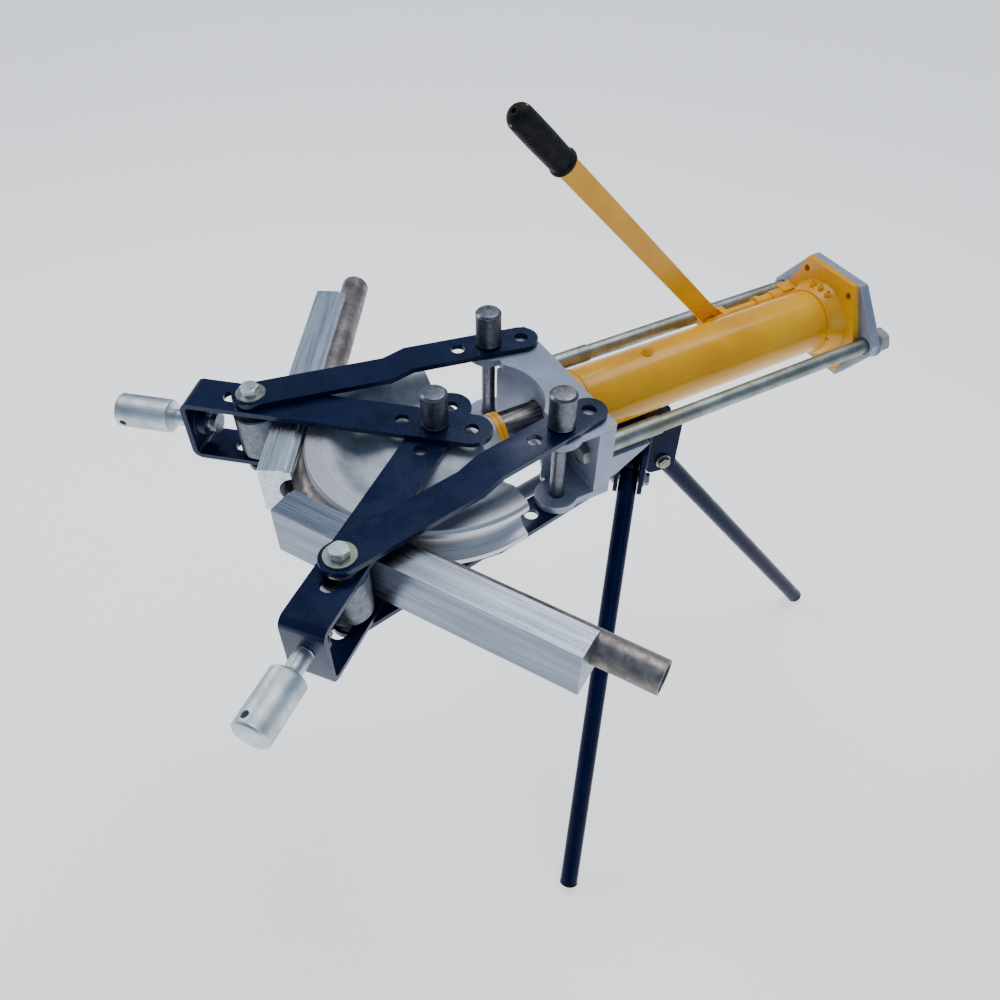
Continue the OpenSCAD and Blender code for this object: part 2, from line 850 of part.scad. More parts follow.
// Tripod head: a hub with three pairs of tall rounded clevis plates.
module tripod_head() {
    top = axis_h - cyl_d/2 - 24.2;
    hub_h = 112;
    plate_w = 60;
    color(black_paint) translate([0, stand_y, 0]) difference() {
        union() {
            translate([0, 0, top - hub_h]) cylinder(d = 44, h = hub_h);
            translate([0, 0, top - 10]) cylinder(d = 60, h = 10);
            for (k = [0:2], s = [-1, 1]) rotate([0, 0, stand_turn + 120*k])
                translate([16, s*19.5 + 3.5, top - hub_h]) rotate([90, 0, 0])
                    linear_extrude(7) round_rect(plate_w - 6, hub_h - 6, 16);
        }
        translate([0, 0, top - 50]) cylinder(d = 16.1, h = 60);
        for (k = [0:2]) rotate([0, 0, stand_turn + 120*k]) {
            translate([hinge_r, 40, hinge_z]) rotate([90, 0, 0]) cylinder(d = 12.1, h = 80);
            translate([24, -15.8, hinge_z - 80]) cube([60, 31.6, 102]);
        }
    }
}

// Cross bolts that the legs hinge on, each with a washer under its head.
module leg_bolts() {
    color(zinc) for (k = [0:2]) translate([0, stand_y, hinge_z]) rotate([0, 0, stand_turn + 120*k])
        translate([hinge_r, 0, 0]) rotate([90, 0, 0]) {
            translate([0, 0, -34]) cylinder(d = 12, h = 68);
            translate([0, 0, -26]) cylinder(d = 26, h = 2.8);
            translate([0, 0, -33]) cylinder(d = 21, h = 7, $fn = 6);
            translate([0, 0, 23.2]) cylinder(d = 26, h = 2.8);
            translate([0, 0, 26]) cylinder(d = 21, h = 9, $fn = 6);
        }
}

// Frame of leg k: -Z runs down the leg from its hinge.
module at_leg(k) {
    translate([0, stand_y, hinge_z]) rotate([0, 0, stand_turn + 120*k]) translate([hinge_r, 0, 0])
        rotate([0, -leg_angle, 0]) children();
}

module leg(k) {
    wall = 2.5;
    color(black_paint) at_leg(k) difference() {
        translate([0, 0, -leg_len]) cylinder(d = leg_d, h = leg_len + 12);
        translate([0, 0, -leg_len - 1]) cylinder(d = leg_d - 2*wall, h = leg_len - 30);
        translate([0, 40, 0]) rotate([90, 0, 0]) cylinder(d = 12.1, h = 80);
    }
}

module leg_cap(k) {
    color(black_paint) at_leg(k) translate([0, 0, -leg_len - cap_h]) {
        translate([0, 0, cap_h]) cylinder(d = leg_d - 5.2, h = 24);
        translate([0, 0, 3]) cylinder(d = leg_d + 1, h = 3);
        cylinder(r1 = cap_r, d2 = leg_d + 1, h = 3);
    }
}

module leg_front() {
    leg(0);
}

module leg_rear() {
    leg(1);
}

module leg_side() {
    leg(2);
}

module leg_caps_front() {
    leg_cap(0);
}

module leg_caps_rear() {
    leg_cap(1);
}

module leg_caps_side() {
    leg_cap(2);
}

frame_top_plate();
frame_bottom_plate();
frame_arch_web();
frame_back_wall();
frame_gussets();
tie_rods();
tie_rod_sleeves();
tie_rod_nuts();
rear_crosshead();
cylinder_barrel();
cylinder_gland();
rear_flange();
flange_screws();
filler_plug();
ram();
piston();
piston_seal();
ram_collar();
former();
pump_body();
pump_plunger();
lever_bracket();
lever_pivot_pin();
lever_socket();
lever_bar();
lever_grip();
release_valve();
arms_near();
arms_far();
frame_pin_near();
frame_pin_far();
centre_pin();
strap_near();
strap_far();
roller_bolt_near();
roller_bolt_far();
roller_near();
roller_far();
washers_near();
washers_far();
screw_bosses_near();
screw_bosses_far();
screw_pad_near();
screw_pad_far();
adjusting_screw_near();
adjusting_screw_far();
block_near();
block_far();
tube_middle();
tube_end_near();
tube_end_far();
stand_saddle();
tripod_head();
leg_bolts();
leg_front();
leg_rear();
leg_side();
leg_caps_front();
leg_caps_rear();
leg_caps_side();
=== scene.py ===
"""Looks of a hand-pumped hydraulic tube bender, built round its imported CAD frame. Metres, +Z up."""
import json
import math
import bmesh
import bpy
import numpy as np
from mathutils import Matrix, Vector

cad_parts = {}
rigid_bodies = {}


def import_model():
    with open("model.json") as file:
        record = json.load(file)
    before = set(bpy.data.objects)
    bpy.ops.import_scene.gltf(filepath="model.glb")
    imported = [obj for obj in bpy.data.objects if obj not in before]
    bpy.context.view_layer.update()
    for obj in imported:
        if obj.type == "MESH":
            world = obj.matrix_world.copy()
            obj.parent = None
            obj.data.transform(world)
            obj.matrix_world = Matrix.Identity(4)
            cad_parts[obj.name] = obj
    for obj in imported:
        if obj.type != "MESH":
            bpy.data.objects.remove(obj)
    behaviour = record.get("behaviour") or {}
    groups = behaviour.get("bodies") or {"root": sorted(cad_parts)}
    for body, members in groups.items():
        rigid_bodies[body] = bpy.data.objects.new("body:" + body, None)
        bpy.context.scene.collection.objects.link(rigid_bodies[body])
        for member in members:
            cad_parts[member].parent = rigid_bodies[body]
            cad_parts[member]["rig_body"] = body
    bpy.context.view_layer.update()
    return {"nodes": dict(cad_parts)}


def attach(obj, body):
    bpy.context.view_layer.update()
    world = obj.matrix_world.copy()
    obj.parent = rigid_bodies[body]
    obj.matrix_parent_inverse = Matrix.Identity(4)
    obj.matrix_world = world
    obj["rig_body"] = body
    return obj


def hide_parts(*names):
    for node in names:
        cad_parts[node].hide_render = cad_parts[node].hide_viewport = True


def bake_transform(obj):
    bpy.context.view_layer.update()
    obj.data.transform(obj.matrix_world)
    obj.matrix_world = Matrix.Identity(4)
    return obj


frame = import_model()
NODES = frame["nodes"]

# Main measures, in metres and degrees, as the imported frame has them.
MM = 0.001
DOUBLE = 2e-6
AXIS_H = 0.747
PIN_X = 0.100
PIN_Y = -0.100
FORMER_Y = -0.2339
STRAP_LEN = 0.2553
STRAP_ANGLE = 39.44
BEND_ANGLE = 31.4
BEND_R = 0.176
TUBE_D = 0.0424
TUBE_WALL = 0.0032
WALL_Y = -0.053
CYL_FRONT = -0.027
CYL_D = 0.100
FLANGE_Y = 0.457
REAR_FACE = 0.485
ROD_X = 0.095
ROD_D = 0.0242
ARCH_Y = -0.160
PLUG_Y = 0.110
VALVE_WHEEL = (-0.089, 0.445, 0.715)
STAND_Y = 0.1126
STAND_TURN = -39.5
LEG_HINGE_H = 0.5836
LEVER_ANGLE = 46.8
LEVER_PIVOT = np.array([-0.063, 0.279, AXIS_H + 0.022])
ARM_TOP = 0.073
ARM_LOW = 0.062
STAGGER = 0.0039
PLATE_TOP = 0.0646
BOLT = np.array([STRAP_LEN * math.sin(math.radians(STRAP_ANGLE)),
                 FORMER_Y - STRAP_LEN * math.cos(math.radians(STRAP_ANGLE)), AXIS_H])
NEAR = 1
FAR = -1
SIDES = {"near": NEAR, "far": FAR}
TOMMY_TURN = {"near": -21, "far": -99}
TOMMY_INSET = 0.012


# ---- camera ----

def set_camera():
    """Camera at the angle, height and field of view that show the bender from above its near side."""
    spot = (0.80171, -0.58587, 1.56844)
    azimuth, elevation, roll = np.radians([59.863, 46.398, 1.418])
    back = np.array([math.sin(azimuth) * math.cos(elevation),
                     -math.cos(azimuth) * math.cos(elevation), math.sin(elevation)])
    level = np.array([math.cos(azimuth), math.sin(azimuth), 0.0])
    upright = np.cross(back, level)
    right = level * math.cos(roll) + upright * math.sin(roll)
    up = upright * math.cos(roll) - level * math.sin(roll)
    data = bpy.data.cameras.new("view")
    data.lens = 31.395
    data.shift_x = -0.0073
    data.shift_y = 0.0010
    data.clip_end = 60.0
    camera = bpy.data.objects.new("view", data)
    turn = Matrix(np.stack([right, up, back], axis=1).tolist()).to_4x4()
    camera.matrix_world = Matrix.Translation(spot) @ turn
    bpy.context.scene.collection.objects.link(camera)
    bpy.context.scene.camera = camera


set_camera()


# ---- material building ----

class Recipe:
    """One procedural material, with short calls for the nodes that the finishes here use."""

    def __init__(self, name, **settings):
        self.material = bpy.data.materials.new(name)
        self.material.use_nodes = True
        self.nodes = self.material.node_tree.nodes
        self.links = self.material.node_tree.links
        self.shader = self.nodes["Principled BSDF"]
        for socket, value in settings.items():
            self.shader.inputs[socket.replace("_", " ")].default_value = value
        self.place = self.nodes.new("ShaderNodeTexCoord").outputs["Object"]

    def feed(self, socket, value):
        if isinstance(value, bpy.types.NodeSocket):
            self.links.new(value, socket)
        else:
            socket.default_value = value

    def centred(self, centre=(0, 0, 0), turn=0.0, stretch=(1, 1, 1)):
        """Coordinates measured from a centre, turned about Z, and divided by a stretch on each axis."""
        node = self.nodes.new("ShaderNodeMapping")
        node.vector_type = "TEXTURE"
        self.links.new(self.place, node.inputs["Vector"])
        node.inputs["Location"].default_value = centre
        node.inputs["Rotation"].default_value = (0, 0, math.radians(turn))
        node.inputs["Scale"].default_value = stretch
        return node.outputs["Vector"]

    def noise(self, scale, detail=4.0, rough=0.55, where=None, distort=0.0):
        node = self.nodes.new("ShaderNodeTexNoise")
        self.links.new(where or self.place, node.inputs["Vector"])
        node.inputs["Scale"].default_value = scale
        node.inputs["Detail"].default_value = detail
        node.inputs["Roughness"].default_value = rough
        node.inputs["Distortion"].default_value = distort
        return node.outputs["Fac"]

    def span(self, value, low, high, to_low=0.0, to_high=1.0):
        """Maps low..high to to_low..to_high, clamped, with a smooth step."""
        node = self.nodes.new("ShaderNodeMapRange")
        node.interpolation_type = "SMOOTHSTEP"
        self.feed(node.inputs["Value"], value)
        node.inputs["From Min"].default_value = low
        node.inputs["From Max"].default_value = high
        node.inputs["To Min"].default_value = to_low
        node.inputs["To Max"].default_value = to_high
        return node.outputs["Result"]

    def calc(self, kind, a, b=0.0):
        node = self.nodes.new("ShaderNodeMath")
        node.operation = kind
        self.feed(node.inputs[0], a)
        self.feed(node.inputs[1], b)
        return node.outputs[0]

    def blend(self, share, a, b):
        node = self.nodes.new("ShaderNodeMix")
        node.data_type = "RGBA"
        self.feed(node.inputs["Factor"], share)
        colours = [s for s in node.inputs if s.type == "RGBA"]
        for socket, value in zip(colours, (a, b)):
            self.feed(socket, value if isinstance(value, bpy.types.NodeSocket) else (*value, 1.0))
        return [s for s in node.outputs if s.type == "RGBA"][0]

    def radius_xy(self, centre):
        """Distance from an upright line through centre."""
        node = self.nodes.new("ShaderNodeVectorMath")
        node.operation = "LENGTH"
        flat = self.nodes.new("ShaderNodeVectorMath")
        flat.operation = "MULTIPLY"
        self.links.new(self.centred(centre), flat.inputs[0])
        flat.inputs[1].default_value = (1, 1, 0)
        self.links.new(flat.outputs[0], node.inputs[0])
        return node.outputs["Value"]

    def edges(self, radius):
        """Near 1 within radius of a convex or concave edge, 0 on open faces."""
        soft = self.nodes.new("ShaderNodeBevel")
        soft.samples = 4
        soft.inputs["Radius"].default_value = radius
        dot = self.nodes.new("ShaderNodeVectorMath")
        dot.operation = "DOT_PRODUCT"
        self.links.new(soft.outputs["Normal"], dot.inputs[0])
        self.links.new(self.nodes.new("ShaderNodeNewGeometry").outputs["Normal"], dot.inputs[1])
        return self.span(dot.outputs["Value"], 0.995, 0.90)

    def upward(self):
        """1 on faces that look up, 0 on upright ones."""
        split = self.nodes.new("ShaderNodeSeparateXYZ")
        self.links.new(self.nodes.new("ShaderNodeNewGeometry").outputs["Normal"], split.inputs[0])
        return self.span(split.outputs["Z"], 0.3, 0.9)

    def relief(self, height, depth, strength):
        """Bumps as deep as depth where height goes from 0 to 1."""
        node = self.nodes.new("ShaderNodeBump")
        node.inputs["Distance"].default_value = depth
        node.inputs["Strength"].default_value = strength
        self.feed(node.inputs["Height"], height)
        return node.outputs["Normal"]

    def done(self, colour, rough=None, normal=None):
        """Joins the finished colour, roughness and bumps to the shader."""
        for name, value in (("Base Color", colour), ("Roughness", rough), ("Normal", normal)):
            if value is not None:
                self.links.new(value, self.shader.inputs[name])
        return self.material


def silver_lacquer():
    """Silver-grey sprayed lacquer over rolled plate: cloudy, lightly rough, rubbed bright on its edges."""
    r = Recipe("silver_lacquer", Metallic=0.35, Coat_Weight=0.08, Coat_Roughness=0.35)
    cloud = r.noise(14, 5)
    colour = r.blend(r.span(cloud, 0.35, 0.68), (0.24, 0.272, 0.365), (0.335, 0.368, 0.47))
    smudge = r.span(r.noise(55, 6, 0.7), 0.58, 0.75)
    colour = r.blend(r.calc("MULTIPLY", smudge, 0.35), colour, (0.30, 0.28, 0.27))
    wear = r.calc("MULTIPLY", r.edges(0.0016), r.span(r.noise(120, 4), 0.35, 0.6))
    colour = r.blend(r.calc("MULTIPLY", wear, 0.75), colour, (0.80, 0.81, 0.83))
    rough = r.span(r.noise(90, 4), 0.3, 0.7, 0.34, 0.50)
    grain = r.calc("ADD", r.noise(900, 3), r.calc("MULTIPLY", r.noise(60, 3), 2.0))
    return r.done(colour, rough, r.relief(grain, 0.00010, 0.7))


def black_powder_coat(name, coat, gloss):
    """Black powder coat: orange peel, a navy cast, fine dust and thin wear on the corners."""
    r = Recipe(name, Metallic=0.0, Coat_Weight=coat, Coat_Roughness=0.16,
               Specular_Tint=(0.34, 0.52, 1.0, 1.0), Specular_IOR_Level=gloss)
    depth = r.span(r.noise(18, 4), 0.35, 0.65)
    colour = r.blend(depth, (0.0024, 0.0044, 0.023), (0.0034, 0.0068, 0.036))
    dust = r.calc("MULTIPLY", r.span(r.noise(700, 3, 0.7), 0.60, 0.72), r.upward())
    colour = r.blend(r.calc("MULTIPLY", dust, 0.14), colour, (0.10, 0.12, 0.20))
    wear = r.calc("MULTIPLY", r.edges(0.0010), r.span(r.noise(160, 5, 0.7), 0.56, 0.66))
    colour = r.blend(r.calc("MULTIPLY", wear, 0.5), colour, (0.20, 0.21, 0.24))
    rough = r.span(r.noise(40, 5), 0.3, 0.7, 0.20, 0.34)
    peel = r.calc("ADD", r.noise(420, 2), r.calc("MULTIPLY", r.noise(110, 2), 0.8))
    return r.done(colour, rough, r.relief(peel, 0.00022, 0.65))


def yellow_enamel():
    """Golden-yellow gloss enamel with soft runs, deeper ochre patches and small chips at the edges."""
    r = Recipe("yellow_enamel", Metallic=0.0, Coat_Weight=0.28, Coat_Roughness=0.15, Specular_IOR_Level=0.28)
    colour = r.blend(r.span(r.noise(9, 4), 0.35, 0.68), (0.76, 0.34, 0.0006), (0.90, 0.44, 0.0015))
    patches = r.span(r.noise(60, 6, 0.7), 0.56, 0.78)
    colour = r.blend(r.calc("MULTIPLY", patches, 0.30), colour, (0.42, 0.19, 0.005))
    chip = r.calc("MULTIPLY", r.edges(0.0010), r.span(r.noise(230, 4, 0.7), 0.60, 0.66))
    colour = r.blend(r.calc("MULTIPLY", chip, 0.7), colour, (0.20, 0.11, 0.03))
    rough = r.span(r.noise(45, 5), 0.3, 0.7, 0.20, 0.34)
    waves = r.calc("ADD", r.noise(55, 2), r.calc("MULTIPLY", r.noise(330, 2), 0.25))
    return r.done(colour, rough, r.relief(waves, 0.00045, 0.6))


def zinc_plate(name, dull, clean, blue):
    """Zinc plating with faint olive and blue tints."""
    r = Recipe(name, Metallic=1.0)
    colour = r.blend(r.span(r.noise(26, 4), 0.38, 0.62), dull, clean)
    tint = r.span(r.noise(48, 3, where=r.centred((0.3, 0.1, 0))), 0.5, 0.7)
    colour = r.blend(r.calc("MULTIPLY", tint, 0.55), colour, blue)
    spots = r.span(r.noise(260, 5, 0.7), 0.60, 0.74)
    colour = r.blend(r.calc("MULTIPLY", spots, 0.22), colour, (0.22, 0.22, 0.19))
    rough = r.span(r.noise(120, 5), 0.3, 0.7, 0.38, 0.52)
    return r.done(colour, rough, r.relief(r.noise(800, 3), 0.00006, 0.6))


def bright_steel():
    """Turned bare steel, dull silver with darker rubbed patches."""
    r = Recipe("bright_steel", Metallic=1.0)
    colour = r.blend(r.span(r.noise(170, 5, 0.65), 0.34, 0.68), (0.115, 0.122, 0.145), (0.19, 0.202, 0.235))
    spots = r.span(r.noise(420, 4, 0.7), 0.58, 0.72)
    colour = r.blend(r.calc("MULTIPLY", spots, 0.45), colour, (0.13, 0.12, 0.115))
    edge = r.calc("MULTIPLY", r.edges(0.0009), 0.8)
    colour = r.blend(edge, colour, (0.66, 0.66, 0.67))
    lines = r.noise(1.0, 3, 0.6, where=r.centred(stretch=(0.02, 0.02, 0.0005)))
    rough = r.span(r.noise(90, 5), 0.3, 0.7, 0.27, 0.46)
    grain = r.calc("ADD", r.noise(1100, 2), lines)
    return r.done(colour, rough, r.relief(grain, 0.00008, 0.6))


def dark_scale():
    """Mill-scale steel tube: brown-grey, blotched, with scuffs and a dull sheen."""
    r = Recipe("dark_scale", Metallic=0.75)
    colour = r.blend(r.span(r.noise(34, 6, 0.65), 0.36, 0.64), (0.15, 0.13, 0.125), (0.30, 0.27, 0.26))
    rust = r.span(r.noise(90, 6, 0.7, distort=0.6), 0.56, 0.70)
    colour = r.blend(r.calc("MULTIPLY", rust, 0.55), colour, (0.24, 0.115, 0.055))
    scuff = r.calc("MULTIPLY", r.edges(0.0008), 0.8)
    colour = r.blend(scuff, colour, (0.62, 0.60, 0.58))
    rough = r.span(r.noise(120, 5), 0.3, 0.7, 0.36, 0.58)
    return r.done(colour, rough, r.relief(r.noise(520, 4, 0.65), 0.00014, 0.7))


def ram_steel():
    """Ground ram: dark steel with long oily streaks."""
    r = Recipe("ram_steel", Metallic=1.0)
    streak = r.noise(1.0, 5, 0.65, where=r.centred(stretch=(0.004, 0.09, 0.004)))
    colour = r.blend(r.span(streak, 0.38, 0.64), (0.05, 0.046, 0.05), (0.20, 0.185, 0.185))
    rough = r.span(r.noise(60, 5), 0.3, 0.7, 0.24, 0.42)
    return r.done(colour, rough, r.relief(streak, 0.00006, 0.5))


def milled_aluminium(name, turn, dull, clean):
    """Milled bar: streaks along its length, pits, grey rub marks and bright edges."""
    r = Recipe(name, Metallic=1.0)
    along = r.centred((0, FORMER_Y, AXIS_H), turn, (0.12, 0.0011, 0.0011))
    broad = r.centred((0, FORMER_Y, AXIS_H), turn, (0.16, 0.012, 0.012))
    streak = r.noise(1.0, 5, 0.7, where=along)
    patch = r.noise(1.0, 4, 0.6, where=broad)
    # dull and clean set the patch colours; across the two block copies they also carry painted shade on the
    # near block and painted light on the far block.
    colour = r.blend(r.span(patch, 0.34, 0.66), dull, clean)
    colour = r.blend(r.calc("MULTIPLY", r.span(streak, 0.45, 0.72), 0.34), colour, (0.22, 0.235, 0.27))
    pits = r.span(r.noise(240, 5, 0.75), 0.62, 0.72)
    colour = r.blend(r.calc("MULTIPLY", pits, 0.65), colour, (0.17, 0.165, 0.16))
    colour = r.blend(r.calc("MULTIPLY", r.edges(0.0012), 0.8), colour, (0.90, 0.90, 0.90))
    rough = r.span(streak, 0.3, 0.7, 0.22, 0.46)
    height = r.calc("ADD", streak, r.calc("MULTIPLY", pits, -1.2))
    return r.done(colour, rough, r.relief(height, 0.00010, 0.8))


def cast_aluminium():
    """Sand-cast former: grainy and dull in the dish, polished in rings by the tube in its groove."""
    r = Recipe("cast_aluminium", Metallic=0.8)
    radius = r.radius_xy((0, FORMER_Y, 0))
    polished = r.span(radius, 0.146, 0.152)
    cast = r.noise(70, 6, 0.65)
    ring_lines = r.nodes.new("ShaderNodeTexNoise")
    ring_lines.noise_dimensions = "1D"
    r.links.new(radius, ring_lines.inputs["W"])
    ring_lines.inputs["Scale"].default_value = 900.0
    ring_lines.inputs["Detail"].default_value = 4.0
    colour = r.blend(r.span(cast, 0.30, 0.70), (0.42, 0.445, 0.50), (0.55, 0.58, 0.65))
    bright = r.blend(r.span(ring_lines.outputs["Fac"], 0.35, 0.65), (0.46, 0.47, 0.50), (0.66, 0.67, 0.70))
    colour = r.blend(polished, colour, bright)
    stain = r.span(r.noise(26, 5, 0.7), 0.56, 0.72)
    colour = r.blend(r.calc("MULTIPLY", stain, 0.16), colour, (0.30, 0.28, 0.27))
    rough = r.blend(polished, (0.62, 0.62, 0.62), (0.40, 0.40, 0.40))
    grit = r.calc("ADD", r.noise(650, 4, 0.7), r.calc("MULTIPLY", cast, 2.2))
    height = r.calc("ADD", r.calc("MULTIPLY", grit, r.span(polished, 0, 1, 1, 0.12)),
                    r.calc("MULTIPLY", ring_lines.outputs["Fac"], polished))
    return r.done(colour, rough, r.relief(height, 0.00022, 0.75))


def black_rubber():
    """Moulded rubber: matt black, dusty in its pores."""
    r = Recipe("black_rubber", Metallic=0.0, Specular_IOR_Level=0.12)
    colour = r.blend(r.span(r.noise(90, 5), 0.35, 0.65), (0.0035, 0.0035, 0.005), (0.009, 0.009, 0.011))
    rough = r.span(r.noise(60, 4), 0.3, 0.7, 0.42, 0.62)
    return r.done(colour, rough, r.relief(r.noise(900, 4, 0.7), 0.00012, 0.8))


def pale_floor():
    """Plain pale studio floor."""
    r = Recipe("pale_floor", Roughness=0.85, Emission_Color=(1.0, 1.0, 1.0, 1.0), Emission_Strength=0.9)
    colour = r.blend(r.span(r.noise(1.2, 2), 0.3, 0.7), (0.90, 0.90, 0.90), (0.93, 0.93, 0.93))
    return r.done(colour)


SILVER = silver_lacquer()
BLACK = black_powder_coat("black_powder_coat", 0.20, 0.34)
LEG_BLACK = black_powder_coat("black_leg_coat", 0.0, 0.10)
YELLOW = yellow_enamel()
ZINC = zinc_plate("zinc_plate", (0.25, 0.26, 0.20), (0.36, 0.38, 0.36), (0.22, 0.28, 0.35))
BRIGHT_ZINC = zinc_plate("bright_zinc", (0.50, 0.54, 0.55), (0.68, 0.74, 0.78), (0.42, 0.52, 0.62))
STEEL = bright_steel()
SCALE = dark_scale()
RAM = ram_steel()
# Both blocks are one milled finish: the near copy's dark colours are painted shade and the far copy's light
# colours are painted light.
MILLED = {
    "near": milled_aluminium("milled_aluminium_painted_shade_near", BEND_ANGLE,
                             (0.20, 0.228, 0.285), (0.285, 0.325, 0.40)),
    "far": milled_aluminium("milled_aluminium_painted_light_far", -BEND_ANGLE,
                            (0.50, 0.56, 0.62), (0.80, 0.85, 0.90)),
}
CAST = cast_aluminium()
RUBBER = black_rubber()


# ---- shells worked out as whole grids ----

def lathe(profile, steps=64):
    """Turns a profile of (height, radius) rows about Z: x = radius cos, y = radius sin, over steps angles."""
    profile = np.asarray(profile, float)
    angle = np.linspace(0, 2 * np.pi, steps, endpoint=False)
    z = np.broadcast_to(profile[:, :1], (len(profile), steps))
    return np.stack([profile[:, 1:] * np.cos(angle), profile[:, 1:] * np.sin(angle), z], axis=-1)


def soften(corners, ease, steps=4):
    """Rounds each inner corner of a profile with a quadratic curve that starts and ends ease away."""
    p = np.asarray(corners, float)
    before, here, after = p[:-2], p[1:-1], p[2:]
    ease = np.broadcast_to(ease, len(here))
    back = before - here
    ahead = after - here
    reach_back = np.minimum(ease, np.linalg.norm(back, axis=1) * 0.49)[:, None]
    reach_ahead = np.minimum(ease, np.linalg.norm(ahead, axis=1) * 0.49)[:, None]
    a = here + back / np.linalg.norm(back, axis=1)[:, None] * reach_back
    c = here + ahead / np.linalg.norm(ahead, axis=1)[:, None] * reach_ahead
    t = np.linspace(0, 1, steps)[None, :, None]
    bent = (1 - t) ** 2 * a[:, None] + 2 * t * (1 - t) * here[:, None] + t ** 2 * c[:, None]
    return np.concatenate([p[:1], bent.reshape(-1, 2), p[-1:]])


def saw(t):
    """Triangle wave of period 1: 0 at whole numbers, 1 half way between them."""
    return 1 - np.abs(2 * (t - np.floor(t)) - 1)


def knurled(start, stop, radius, ease, starts, pitch, depth, steps):
    """A turned bar from start to stop whose side carries diamonds: radius = R - depth (1 - the lower of two
    triangle waves that climb opposite ways), faded out over the eased ends; both ends close on the axis."""
    rows = int(round((stop - start - 2 * ease) / pitch * 2)) + 1
    z = np.linspace(start + ease, stop - ease, rows)[:, None]
    angle = np.linspace(0, 2 * np.pi, steps, endpoint=False)[None, :]
    turns = starts * angle / (2 * np.pi)
    diamonds = np.minimum(saw(turns + z / pitch / 2), saw(turns - z / pitch / 2))
    inside = np.minimum(z - z[0], z[-1] - z) / pitch
    r = radius - depth * (1 - diamonds) * np.clip(inside, 0, 1)
    side = np.stack([r * np.cos(angle), r * np.sin(angle), np.broadcast_to(z, r.shape)], axis=-1)
    low = lathe(soften([(start, 0), (start, radius - ease), (start + ease, radius)], ease * 0.35), steps)
    high = lathe(soften([(stop - ease, radius), (stop, radius - ease), (stop, 0)], ease * 0.35), steps)
    return np.concatenate([low, side[1:-1], high])


def threaded(start, stop, radius, pitch, depth, steps=48):
    """A screw thread: radius = R - depth times a triangle wave of (height / pitch - angle / turn)."""
    rows = int(math.ceil((stop - start) / pitch * 6)) + 1
    z = np.linspace(start, stop, rows)[:, None]
    angle = np.linspace(0, 2 * np.pi, steps, endpoint=False)[None, :]
    r = radius - depth * saw(z / pitch - angle / (2 * np.pi))
    r[[0, -1]] = radius - depth
    side = np.stack([r * np.cos(angle), r * np.sin(angle), np.broadcast_to(z, r.shape)], axis=-1)
    return np.concatenate([lathe([(start, 0)], steps), side, lathe([(stop, 0)], steps)])


def rod(start, stop, radius, steps):
    """A plain round bar: one radius from start to stop, both ends closed on the axis."""
    return lathe([(start, 0), (start, radius), (stop, radius), (stop, 0)], steps)


def washer(bore, rim, thick, ease, steps):
    """A flat ring from height 0 to thick, between two radii, with softened corners."""
    return lathe(soften([(0, bore), (0, rim), (thick, rim), (thick, bore), (0, bore)], ease), steps)


def hexagon(start, stop, flats, bore=0.0, steps=96):
    """A hexagon prism whose top and bottom corners are cut by a 30 degree cone, as on a real nut or head:
    the rim's height falls by tan 30 times how far the hexagon's radius passes the flats' own."""
    angle = np.linspace(0, 2 * np.pi, steps, endpoint=False)
    off = (angle + np.pi / 6) % (np.pi / 3) - np.pi / 6
    rim = flats / 2 / np.cos(off)
    face = flats / 2 * 0.97
    fall = (rim - face) * math.tan(math.radians(30))
    rows = [(np.full(steps, bore), start), (np.full(steps, face), start), (rim, start + fall),
            (rim, stop - fall), (np.full(steps, face), stop), (np.full(steps, bore), stop)]
    if bore > 0:
        rows.append(rows[0])
    return np.stack([np.stack([r * np.cos(angle), r * np.sin(angle), np.broadcast_to(z, steps)], axis=-1)
                     for r, z in rows])


def swept(path, radii, steps=20):
    """Carries circles of the given radii along a path; each stands square to the path's own direction, with
    its first spoke kept level. The two ends close on the path."""
    path = np.asarray(path, float)
    run = np.gradient(path, axis=0)
    run /= np.linalg.norm(run, axis=1)[:, None]
    across = np.cross(run, np.broadcast_to([0.03, 0.05, 1.0], run.shape))
    across /= np.linalg.norm(across, axis=1)[:, None]
    up = np.cross(across, run)
    angle = np.linspace(0, 2 * np.pi, steps, endpoint=False)[None, :, None]
    radii = np.broadcast_to(radii, len(path))[:, None, None]
    body = path[:, None] + radii * (np.cos(angle) * across[:, None] + np.sin(angle) * up[:, None])
    return np.concatenate([np.repeat(path[:1, None], steps, 1), body, np.repeat(path[-1:, None], steps, 1)])


def bead(corners, radius, seed, pitch=0.0032):
    """A weld bead along straight runs between corners: its radius swells with |sin| ripples a pitch apart
    and wanders a little, and it thins out at both ends."""
    corners = np.asarray(corners, float)
    gaps = np.linalg.norm(np.diff(corners, axis=0), axis=1)
    station = np.concatenate([[0], np.cumsum(gaps)])
    s = np.linspace(0, station[-1], max(8, int(station[-1] / pitch * 5)))
    path = np.stack([np.interp(s, station, corners[:, k]) for k in range(3)], axis=1)
    random = np.random.default_rng(seed)
    drift = np.interp(s, np.linspace(0, station[-1], 12), random.uniform(-1, 1, 12))
    swell = 0.80 + 0.20 * np.abs(np.sin(np.pi * s / pitch + drift)) + 0.08 * drift
    ends = np.clip(np.minimum(s, station[-1] - s) / (1.4 * radius), 0.35, 1)
    return swept(path, radius * swell * ends, 10)


def ring_points(centre, radius, count=90):
    """Points once round a circle that stands square to Y: x = radius cos, z = radius sin."""
    angle = np.radians(np.linspace(0, 360, count))
    x = centre[0] + radius * np.cos(angle)
    z = centre[2] + radius * np.sin(angle)
    return np.stack([x, np.full(count, centre[1]), z], axis=1)


def strap_axes():
    """Unit directions along the near strap, away from the former's pin, and level across it."""
    turn = math.radians(STRAP_ANGLE)
    return np.array([math.sin(turn), -math.cos(turn), 0]), np.array([math.cos(turn), math.sin(turn), 0])


def leg_axes(leg):
    """Unit directions out along a leg's azimuth and level across it."""
    azimuth = math.radians(STAND_TURN + 120 * leg)
    return (np.array([math.cos(azimuth), math.sin(azimuth), 0]),
            np.array([-math.sin(azimuth), math.cos(azimuth), 0]))


